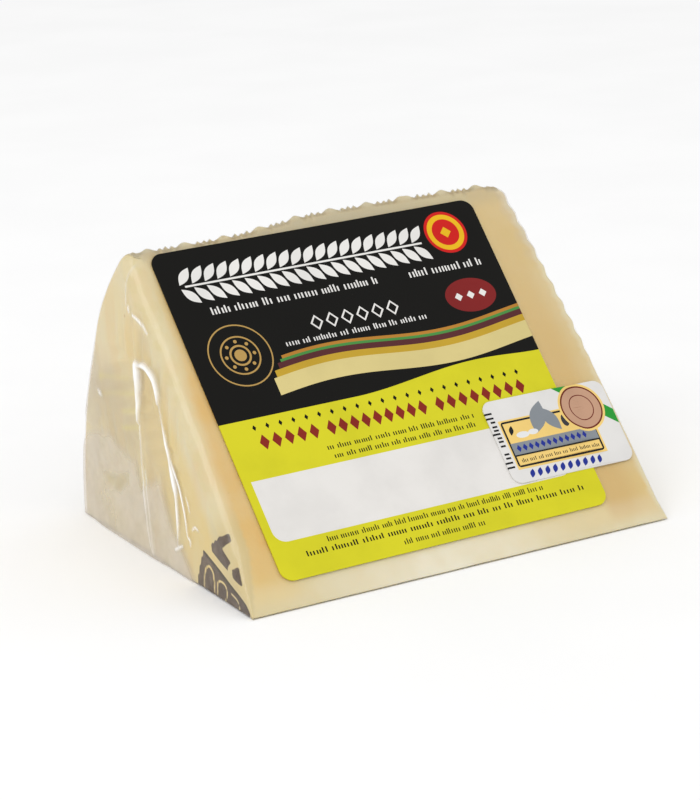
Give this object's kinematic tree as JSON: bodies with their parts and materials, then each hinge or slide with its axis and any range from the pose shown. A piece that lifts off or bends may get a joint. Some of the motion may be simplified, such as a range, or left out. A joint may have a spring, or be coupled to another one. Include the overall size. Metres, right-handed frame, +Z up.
{
  "type": "manchego wedge",
  "caption": "Wedge of aged sheep's cheese in clear film, lying on a cut face, with a large label and a small seal sticker on the sloping cut face and braided relief on the rind.",
  "frame": {"origin": "on the ground, under the middle of the wedge's box", "axes": "+X along the tip edge, to the right as seen from the tip; +Y from the tip edge back to the rind; +Z up"},
  "size_m": [0.112, 0.0958, 0.0721],
  "materials": {
    "wrapped_cheese": "cream to amber cheese, satin and waxy, seen through tight clear glossy film",
    "label": "smooth printed paper with a satin coat, black upper field and yellow-green lower field",
    "sticker": "smooth white printed paper with a satin coat"
  },
  "bodies": {
    "root": {"wrapped_wedge": "wrapped_cheese", "main_label": "label", "seal_sticker": "sticker"}
  },
  "joints": []
}
